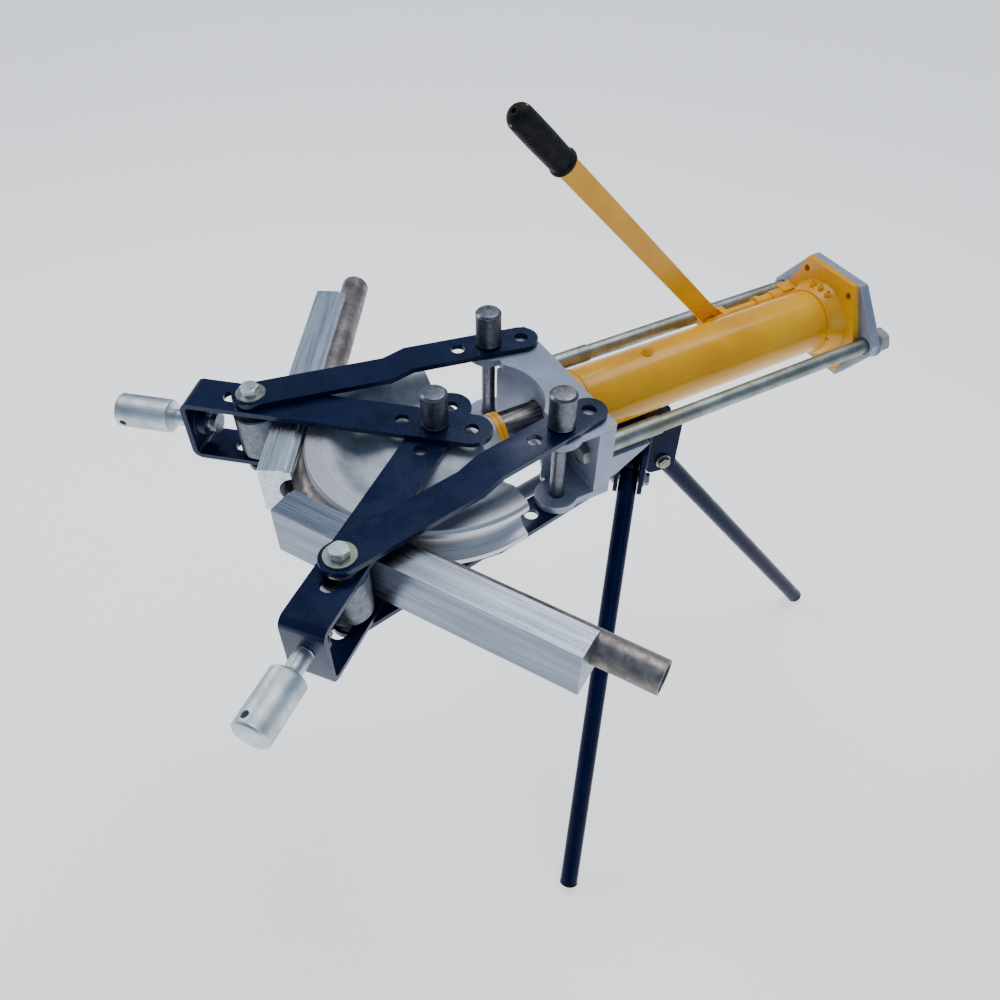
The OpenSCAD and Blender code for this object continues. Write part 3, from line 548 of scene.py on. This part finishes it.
def lever_axes():
    """Unit directions up along the handle and square to it, both in the plane that it rocks in."""
    angle = math.radians(LEVER_ANGLE)
    return (np.array([0, -math.cos(angle), math.sin(angle)]),
            np.array([0, math.sin(angle), math.cos(angle)]))


def set_down(grid, origin=(0, 0, 0), axis=(0, 0, 1), level=(1, 0, 0), side=NEAR):
    """Moves a grid drawn about Z so that Z runs along axis, with x nearest to level, from origin; a far-side
    grid is the near one with its x reversed."""
    z = np.asarray(axis, float) / np.linalg.norm(axis)
    x = np.asarray(level, float) - np.dot(level, z) * z
    x /= np.linalg.norm(x)
    turned = grid @ np.stack([x, np.cross(z, x), z]) + np.asarray(origin, float)
    return turned * [side, 1, 1]


def make_piece(name, grids, material, body, replaces=(), sharp=35.0):
    """Joins grids into one closed mesh: each grid's columns wrap round, rows run from end to end, doubles are
    merged and the faces are turned outwards. The mesh then rides on its body."""
    points = []
    faces = []
    first = 0
    for grid in grids:
        m, n = grid.shape[:2]
        row = np.arange(m - 1)[:, None] * n
        here = np.arange(n)[None, :]
        there = (here + 1) % n
        quads = np.stack([row + here, row + there, row + n + there, row + n + here], axis=-1)
        points.append(grid.reshape(-1, 3))
        faces.append(quads.reshape(-1, 4) + first)
        first += m * n
    mesh = bpy.data.meshes.new(name)
    mesh.from_pydata(np.concatenate(points).tolist(), [], np.concatenate(faces).tolist())
    work = bmesh.new()
    work.from_mesh(mesh)
    bmesh.ops.remove_doubles(work, verts=work.verts, dist=DOUBLE)
    bmesh.ops.dissolve_degenerate(work, edges=work.edges, dist=DOUBLE / 2)
    bmesh.ops.recalc_face_normals(work, faces=work.faces)
    work.to_mesh(mesh)
    work.free()
    return put_in_place(name, mesh, material, body, replaces, sharp)


def put_in_place(name, mesh, material, body, replaces=(), sharp=35.0):
    """Gives a finished mesh its object, finish and body, and hides the imported parts that it replaces."""
    mesh.polygons.foreach_set("use_smooth", np.ones(len(mesh.polygons), bool))
    mesh.set_sharp_from_angle(angle=math.radians(sharp))
    piece = bpy.data.objects.new(name, mesh)
    bpy.context.scene.collection.objects.link(piece)
    mesh.materials.append(material)
    if body is not None:
        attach(piece, body)
    if replaces:
        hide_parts(*replaces)
    return piece


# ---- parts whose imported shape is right: their edges are eased ----

def eased(node, width, material):
    """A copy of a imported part: doubles merged, flat faces joined up, edges rounded to width millimetres."""
    source = NODES[node].data
    points = np.zeros(len(source.vertices) * 3, np.float32)
    source.vertices.foreach_get("co", points)
    corners = np.zeros(len(source.loops), np.int32)
    source.loops.foreach_get("vertex_index", corners)
    mesh = bpy.data.meshes.new(node + "_eased")
    mesh.from_pydata(points.reshape(-1, 3).tolist(), [], corners.reshape(-1, 3).tolist())
    work = bmesh.new()
    work.from_mesh(mesh)
    bmesh.ops.remove_doubles(work, verts=work.verts, dist=3e-6)
    bmesh.ops.dissolve_limit(work, angle_limit=math.radians(0.4), verts=work.verts, edges=work.edges)
    work.to_mesh(mesh)
    work.free()
    piece = put_in_place(node + "_eased", mesh, material, NODES[node]["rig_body"], (node,), 180)
    bevel = piece.modifiers.new("eased_edges", "BEVEL")
    bevel.width = width * MM
    bevel.segments = 2
    bevel.limit_method = "ANGLE"
    bevel.angle_limit = math.radians(34)
    bevel.harden_normals = True
    bevel.miter_outer = "MITER_ARC"


EASED = {
    "frame_top_plate": (1.0, SILVER), "frame_bottom_plate": (1.0, SILVER), "frame_arch_web": (0.8, SILVER),
    "frame_back_wall": (1.0, SILVER), "frame_gussets": (0.9, SILVER), "rear_crosshead": (1.2, SILVER),
    "tie_rods": (1.0, ZINC), "tie_rod_sleeves": (0.5, ZINC), "washers_near": (0.4, ZINC),
    "washers_far": (0.4, ZINC), "cylinder_gland": (1.5, YELLOW), "cylinder_barrel": (1.0, YELLOW),
    "rear_flange": (1.6, YELLOW), "ram_collar": (0.6, YELLOW), "lever_bracket": (0.8, YELLOW),
    "lever_socket": (1.2, YELLOW), "lever_bar": (1.6, YELLOW), "pump_body": (0.9, YELLOW),
    "flange_screws": (0.5, YELLOW), "pump_plunger": (0.6, YELLOW), "former": (0.9, CAST),
    "arms_near": (1.0, BLACK), "arms_far": (1.0, BLACK), "strap_near": (1.0, BLACK),
    "strap_far": (1.0, BLACK), "screw_bosses_near": (1.0, BLACK), "screw_bosses_far": (1.0, BLACK),
    "stand_saddle": (0.9, BLACK), "tripod_head": (1.0, LEG_BLACK), "leg_front": (0.8, LEG_BLACK),
    "leg_rear": (0.8, LEG_BLACK), "leg_side": (0.8, LEG_BLACK), "leg_caps_front": (0.8, RUBBER),
    "leg_caps_rear": (0.8, RUBBER), "leg_caps_side": (0.8, RUBBER), "roller_near": (0.6, STEEL),
    "roller_far": (0.6, STEEL), "screw_pad_near": (0.5, STEEL), "screw_pad_far": (0.5, STEEL),
    "block_near": (0.8, MILLED["near"]), "block_far": (0.8, MILLED["far"]),
    "tube_end_near": (0.35, SCALE), "tube_end_far": (0.35, SCALE), "ram": (0.8, RAM),
    "lever_pivot_pin": (0.5, STEEL),
}
KEPT = {"piston": STEEL, "piston_seal": RUBBER}

for node, (width, material) in EASED.items():
    eased(node, width, material)


def repaint(node, material):
    """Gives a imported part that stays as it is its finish."""
    slots = NODES[node].data.materials
    slots.clear()
    slots.append(material)


for node, material in KEPT.items():
    repaint(node, material)


# ---- knurled pins, knobs and bolts ----

def lift_pin(name, node, x, y, seat, side):
    """Plain shaft with a tapered tip below a knurled, chamfered head."""
    head = 54 * MM
    shaft = 2 * seat + (1 if node != "centre_pin" else 2) * MM
    grids = [knurled(0, head, 18.5 * MM, 3.2 * MM, 42, 1.8 * MM, 0.60 * MM, 252),
             lathe(soften([(-shaft - 4 * MM, 0), (-shaft - 4 * MM, 7.5 * MM), (-shaft, 10 * MM),
                           (-1 * MM, 10 * MM), (0.5 * MM, 10 * MM), (0.5 * MM, 0)], 0.8 * MM), 64)]
    placed = [set_down(g, (x, y, AXIS_H + seat), side=side) for g in grids]
    make_piece(name, placed, STEEL, NODES[node]["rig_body"], (node,), 50)


lift_pin("near_frame_pin", "frame_pin_near", PIN_X, PIN_Y, ARM_TOP + 0.2 * MM, NEAR)
lift_pin("far_frame_pin", "frame_pin_far", PIN_X, PIN_Y, ARM_TOP + 0.2 * MM, FAR)
lift_pin("former_pin", "centre_pin", 0, FORMER_Y, 49 * MM + STAGGER + 0.2 * MM, NEAR)


def cut_hole(piece, start, stop, radius):
    """Drills a round hole through a piece from start to stop, as an exact difference."""
    start, stop = np.asarray(start, float), np.asarray(stop, float)
    length = np.linalg.norm(stop - start)
    grid = set_down(rod(0, length, radius, 48), start, stop - start)
    drill = make_piece("drill", [grid], STEEL, None)
    step = piece.modifiers.new("hole", "BOOLEAN")
    step.object = drill
    step.solver = "EXACT"
    seen = piece.evaluated_get(bpy.context.evaluated_depsgraph_get())
    cut = bpy.data.meshes.new_from_object(seen)
    piece.modifiers.remove(step)
    piece.data = cut
    bpy.data.objects.remove(drill)
    cut.polygons.foreach_set("use_smooth", np.ones(len(cut.polygons), bool))
    cut.set_sharp_from_angle(angle=math.radians(50))


def adjusting_screw(label, side):
    """Threaded rod with a smooth neck, and its knurled knob with a tommy-bar hole, along the strap."""
    node = "adjusting_screw_" + label
    body = NODES[node]["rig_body"]
    out, cross = strap_axes()
    knob_in = STRAP_LEN + 128.3 * MM
    knob_out = knob_in + 77.8 * MM
    foot = (0, FORMER_Y, AXIS_H)
    ring = [(321 * MM, 5.1 * MM), (321 * MM, 10.6 * MM), (335 * MM, 10.6 * MM), (335 * MM, 5.1 * MM),
            (321 * MM, 5.1 * MM)]
    neck = [(351 * MM, 0), (351 * MM, 10.6 * MM), (352 * MM, 11.5 * MM), (knob_in - 6 * MM, 11.5 * MM),
            (knob_in - 5 * MM, 11.0 * MM), (knob_in + 0.5 * MM, 11.0 * MM), (knob_in + 0.5 * MM, 0)]
    grids = [threaded(334 * MM, 352 * MM, 11.5 * MM, 3 * MM, 1.3 * MM),
             lathe(soften(ring, 0.6 * MM), 48), lathe(soften(neck, 0.5 * MM), 64)]
    placed = [set_down(g, foot, out, (0, 0, 1), side) for g in grids]
    make_piece("adjusting_rod_" + label, placed, BRIGHT_ZINC, body, (node,), 50)
    grid = knurled(knob_in, knob_out, 24 * MM, 2.6 * MM, 54, 1.8 * MM, 0.60 * MM, 324)
    knob = make_piece("knurled_knob_" + label, [set_down(grid, foot, out, (0, 0, 1), side)],
                      BRIGHT_ZINC, body, (), 50)
    tilt = math.radians(TOMMY_TURN[label])
    drill = np.array([0, 0, 1]) * math.cos(tilt) + cross * math.sin(tilt)
    middle = np.array(foot) + out * (knob_out - TOMMY_INSET)
    cut_hole(knob, (middle - drill * 0.04) * [side, 1, 1], (middle + drill * 0.04) * [side, 1, 1], 5 * MM)


for label, side in SIDES.items():
    adjusting_screw(label, side)


def roller_bolt(label, side):
    """Hex bolt through both arms: chamfered head, washer face, shank, threaded end and nut."""
    node = "roller_bolt_" + label
    top = ARM_LOW
    grids = [hexagon(top + 4 * MM, top + 14 * MM, 22.5 * MM),
             lathe(soften([(top + 3 * MM, 0), (top + 3 * MM, 11.4 * MM), (top + 4.2 * MM, 11.4 * MM),
                           (top + 4.2 * MM, 0)], 0.3 * MM), 64),
             rod(-top - 18 * MM, top + 5 * MM, 8 * MM, 48),
             threaded(-top - 26 * MM, -top - 17.5 * MM, 8 * MM, 2 * MM, 0.9 * MM, 36),
             hexagon(-top - 17 * MM, -top - 3.1 * MM, 23.4 * MM)]
    placed = [set_down(g, BOLT, level=(math.cos(0.35), math.sin(0.35), 0), side=side) for g in grids]
    make_piece("roller_bolt_finished_" + label, placed, BRIGHT_ZINC, NODES[node]["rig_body"],
               (node,), 30)


for label, side in SIDES.items():
    roller_bolt(label, side)


def tie_rod_fixings():
    """Nuts and washers on both ends of the tie rods."""
    grids = []
    for side in (NEAR, FAR):
        spot = (ROD_X, REAR_FACE, AXIS_H)
        parts = [washer(ROD_D / 2, 22 * MM, 3 * MM, 0.5 * MM, 64),
                 hexagon(3 * MM, 22 * MM, 36 * MM, ROD_D / 2)]
        grids += [set_down(g, spot, (0, 1, 0), (1, 0, 0.4), side) for g in parts]
        inner = hexagon(0, 12 * MM, 26.8 * MM, ROD_D / 2)
        grids.append(set_down(inner, (ROD_X, WALL_Y - 12 * MM, AXIS_H), (0, 1, 0), (1, 0, 0.2), side))
    make_piece("tie_rod_nuts_finished", grids, ZINC, "frame",
               ("tie_rod_nuts",), 30)


def leg_hinge_bolts():
    """Hex bolts, washers and nuts that the three legs turn on."""
    grids = []
    for leg in range(3):
        out, cross = leg_axes(leg)
        spot = np.array([0, STAND_Y, LEG_HINGE_H]) + out * 0.046
        ring = washer(6 * MM, 13 * MM, 2.8 * MM, 0.4 * MM, 48)
        parts = [rod(-30 * MM, 30 * MM, 6 * MM, 32),
                 threaded(30 * MM, 34 * MM, 6 * MM, 1.5 * MM, 0.6 * MM, 32),
                 ring + [0, 0, -26 * MM], ring + [0, 0, 23.2 * MM],
                 hexagon(-33 * MM, -26 * MM, 18.2 * MM), hexagon(26 * MM, 33 * MM, 18.2 * MM)]
        grids += [set_down(g, spot, -cross, (0, 0.3, 1)) for g in parts]
    make_piece("leg_hinge_bolts", grids, ZINC, "frame", ("leg_bolts",), 30)


tie_rod_fixings()
leg_hinge_bolts()


def filler_plug():
    """Domed plug on a flat flange, on top of the barrel."""
    spot = (0, PLUG_Y, AXIS_H + CYL_D / 2)
    rise = np.radians(np.linspace(0, 90, 12))
    dome = np.stack([3.2 * MM + 7.4 * MM * np.sin(rise), 7.6 * MM * np.cos(rise)], axis=1)
    rim = soften([(-8 * MM, 0), (-8 * MM, 4.4 * MM), (-1 * MM, 4.4 * MM), (-1 * MM, 9 * MM),
                  (3.2 * MM, 9 * MM), dome[0]], 0.6 * MM)
    grid = lathe(np.concatenate([rim, dome[1:]]), 48)
    make_piece("filler_plug_finished", [set_down(grid, spot)], YELLOW, "frame",
               ("filler_plug",), 50)


def hand_grip():
    """Moulded grip on the handle's end: a flared collar, shallow rings, a swelling middle and a domed end
    with a hanging hole. Radius = a slow sine swell plus small ring ripples."""
    up, _ = lever_axes()
    start = 429 * MM
    s = np.linspace(9 * MM, 92 * MM, 120)
    swell = 17.2 * MM + 0.5 * MM * np.sin(np.pi * (s - 9 * MM) / (83 * MM))
    fade = np.clip(np.minimum(s - 9 * MM, 92 * MM - s) / (6 * MM), 0, 1)
    ripple = 0.12 * MM * np.cos(2 * np.pi * s / (5.5 * MM)) * fade
    side = np.stack([s, swell + ripple], axis=1)
    dome_angle = np.radians(np.linspace(0, 78, 14))
    dome = np.stack([92 * MM + 16.5 * MM * np.sin(dome_angle),
                     3.6 * MM + 13.6 * MM * np.cos(dome_angle)], axis=1)
    collar = soften([(0, 15.5 * MM), (0, 18.4 * MM), (2 * MM, 19.5 * MM), (6 * MM, 19.5 * MM),
                     (8.6 * MM, 17.4 * MM)], 1.2 * MM)
    well = [(107 * MM, 3.4 * MM), (103 * MM, 3.2 * MM), (103 * MM, 0)]
    profile = np.concatenate([[(0, 0)], collar, side, dome[1:], well])
    grid = set_down(lathe(profile, 72), LEVER_PIVOT + up * start, up, (1, 0, 0))
    make_piece("hand_grip", [grid], RUBBER, "lever", ("lever_grip",), 50)


def release_wheel():
    """Small knurled hand wheel of the release valve, on its spindle."""
    grids = [knurled(-2 * MM, 6 * MM, 13 * MM, 1.2 * MM, 32, 1.6 * MM, 0.4 * MM, 192),
             lathe(soften([(5.5 * MM, 0), (5.5 * MM, 4.95 * MM), (21 * MM, 4.95 * MM), (21 * MM, 0)],
                          0.4 * MM), 48)]
    placed = [set_down(g, VALVE_WHEEL, (1, 0, 0), (0, 0, 1)) for g in grids]
    make_piece("release_wheel", placed, STEEL, "valve_wheel",
               ("release_valve",), 50)


filler_plug()
hand_grip()
release_wheel()


# ---- the tube, half on each side of the former's front ----

def tube_half(label, side):
    """Hollow tube from the front of the former round the arc to its tangent, then straight: the path's angle
    grows at 1 / bend radius and then stays. Past its first rows it is 0.25 mm smaller in radius, so that it
    stays inside the straight end."""
    turn = math.radians(BEND_ANGLE)
    arc = np.linspace(0, turn, 40)
    bent = np.stack([BEND_R * np.sin(arc), FORMER_Y - BEND_R * np.cos(arc), np.full(40, AXIS_H)], axis=1)
    run = np.array([math.cos(turn), math.sin(turn), 0])
    near_part = np.linspace(2 * MM, 218 * MM, 60)[:, None] * run + bent[-1]
    hidden = np.linspace(221 * MM, 300 * MM, 16)[:, None] * run + bent[-1]
    path = np.concatenate([bent, near_part, hidden])
    full_rows = 74
    outer = np.where(np.arange(len(path)) < full_rows, TUBE_D / 2, TUBE_D / 2 - 0.25 * MM)
    inner = np.full(len(path), TUBE_D / 2 - TUBE_WALL + 0.1 * MM)
    skin = swept(path, outer, 64)[1:-1]
    lining = swept(path, inner, 64)[1:-1]
    shell = np.concatenate([skin, lining[::-1], skin[:1]]) * [side, 1, 1]
    piece = make_piece("bent_tube_" + label, [shell], SCALE, None, (), 50)
    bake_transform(piece)
    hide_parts("tube_middle")


for label, side in SIDES.items():
    tube_half(label, side)


# ---- welds ----

def frame_welds():
    """Beads where the front frame's plates, web, wall and gussets meet."""
    low = AXIS_H - PLATE_TOP + 12 * MM
    high = AXIS_H + PLATE_TOP - 12 * MM
    grids = []
    arc = np.radians(np.linspace(52, 128, 40))
    for z in (low + 1 * MM, high - 1 * MM):
        for radius in (0.100, 0.086):
            points = np.stack([radius * np.cos(arc), ARCH_Y + radius * np.sin(arc), np.full(40, z)], axis=1)
            points = points[points[:, 1] < WALL_Y - 3 * MM]
            halves = [points[points[:, 0] > 0], points[points[:, 0] < 0]] if radius > 0.09 else [points]
            grids += [bead(p, 3.0 * MM, 11 + i) for i, p in enumerate(halves) if len(p) > 3]
    for side in (NEAR, FAR):
        runs = [[(0.064, WALL_Y, low), (0.120, WALL_Y, low)],
                [(0.064, WALL_Y, high), (0.120, WALL_Y, high)],
                [(0.050, WALL_Y, low + 6 * MM), (0.110, WALL_Y, low + 6 * MM)],
                [(0.100, CYL_FRONT, low + 2 * MM), (0.100, CYL_FRONT, AXIS_H - 15 * MM)],
                [(0.110, CYL_FRONT, low + 2 * MM), (0.110, CYL_FRONT, AXIS_H - 17 * MM)]]
        grids += [bead(np.array(r) * [side, 1, 1], 2.6 * MM, 31 + k) for k, r in enumerate(runs)]
    make_piece("frame_welds", grids, SILVER, "frame", (), 60)


def yellow_welds():
    """Beads round the flange collar, the lever bracket and the pump's valve block."""
    grids = [bead(ring_points((0, FLANGE_Y - 22 * MM, AXIS_H), 51.2 * MM), 3.0 * MM, 51, 4.2 * MM),
             bead(ring_points((0, CYL_FRONT + 18.1 * MM, AXIS_H), 49.7 * MM), 1.6 * MM, 52, 3.4 * MM)]
    for y in (0.263, 0.295):
        grids.append(bead([(-0.0355, y, 0.7035), (-0.0375, y, 0.712), (-0.0425, y, 0.7205)], 2.4 * MM, 53))
    grids.append(bead([(-0.078, FLANGE_Y, 0.702), (-0.078, FLANGE_Y, 0.772), (-0.056, FLANGE_Y, 0.772)],
                      2.4 * MM, 54))
    make_piece("yellow_welds", grids, YELLOW, "frame", (), 60)


def handle_weld():
    """Beads down both faces of the joint between the crank plate and the handle bar."""
    up, across = lever_axes()
    spot = LEVER_PIVOT + up * 30 * MM
    grids = [bead([spot + across * -13 * MM + [x, 0, 0], spot + across * 13 * MM + [x, 0, 0]], 2.4 * MM, 61)
             for x in (-6 * MM, 6 * MM)]
    make_piece("handle_weld", grids, YELLOW, "lever", (), 60)


def boss_weld(label, side):
    """Bead round the threaded boss where it meets the strap's front."""
    out, cross = strap_axes()
    angle = np.linspace(0, 2 * np.pi, 70)[:, None]
    centre = np.array([0, FORMER_Y, AXIS_H]) + out * 0.3420
    ring = centre + 0.0212 * (np.cos(angle) * cross + np.sin(angle) * np.array([0, 0, 1]))
    grid = bead(ring * [side, 1, 1], 2.4 * MM, 71)
    make_piece("boss_weld_" + label, [grid], BLACK, "u_strap_" + label, (), 60)


def stand_welds():
    """Beads where the clevis plates meet the hub and the saddle meets the wall."""
    top = AXIS_H - CYL_D / 2 - 24.2 * MM
    grids = []
    for leg in range(3):
        out, cross = leg_axes(leg)
        for side in (FAR, NEAR):
            base = np.array([0, STAND_Y, 0]) + out * 0.017 + cross * side * 0.0232
            grids.append(bead([base + [0, 0, top - 0.100], base + [0, 0, top - 0.014]], 2.4 * MM, 81 + leg))
    grids.append(bead([(-0.066, -0.0055, 0.6818), (0.066, -0.0055, 0.6818)], 2.4 * MM, 91))
    make_piece("stand_welds", grids, BLACK, "frame", (), 60)


frame_welds()
yellow_welds()
handle_weld()
stand_welds()
for label, side in SIDES.items():
    boss_weld(label, side)


# ---- studio ----

def studio():
    """Pale floor, an even sky-tinted surround and three large soft lamps."""
    floor_mesh = bpy.data.meshes.new("floor")
    half = 14.0
    floor_mesh.from_pydata([(-half, -half, 0), (half, -half, 0), (half, half, 0), (-half, half, 0)], [],
                           [(0, 1, 2, 3)])
    floor_mesh.materials.append(pale_floor())
    floor = bpy.data.objects.new("floor", floor_mesh)
    bpy.context.scene.collection.objects.link(floor)
    world = bpy.data.worlds.new("surround")
    world.use_nodes = True
    surround = world.node_tree.nodes["Background"]
    surround.inputs["Color"].default_value = (0.50, 0.70, 1.0, 1.0)
    surround.inputs["Strength"].default_value = 0.42
    bpy.context.scene.world = world
    lamps = {"overhead": ((-0.5, 0.7, 2.7), (0, 0, 0.75), 1.6, 34.0, (1.0, 0.99, 0.97)),
             "key": ((-1.9, -1.5, 2.4), (0, -0.1, 0.7), 0.9, 24.0, (1.0, 0.98, 0.95)),
             "fill": ((2.4, -0.6, 1.2), (0.1, -0.1, 0.6), 1.4, 7.0, (0.90, 0.95, 1.0))}
    for name, (spot, target, size, watts, colour) in lamps.items():
        data = bpy.data.lights.new(name, "AREA")
        data.size = size
        data.energy = watts
        data.color = colour
        lamp = bpy.data.objects.new(name, data)
        aim = Vector(target) - Vector(spot)
        lamp.matrix_world = Matrix.Translation(spot) @ aim.to_track_quat("-Z", "Y").to_matrix().to_4x4()
        bpy.context.scene.collection.objects.link(lamp)


studio()
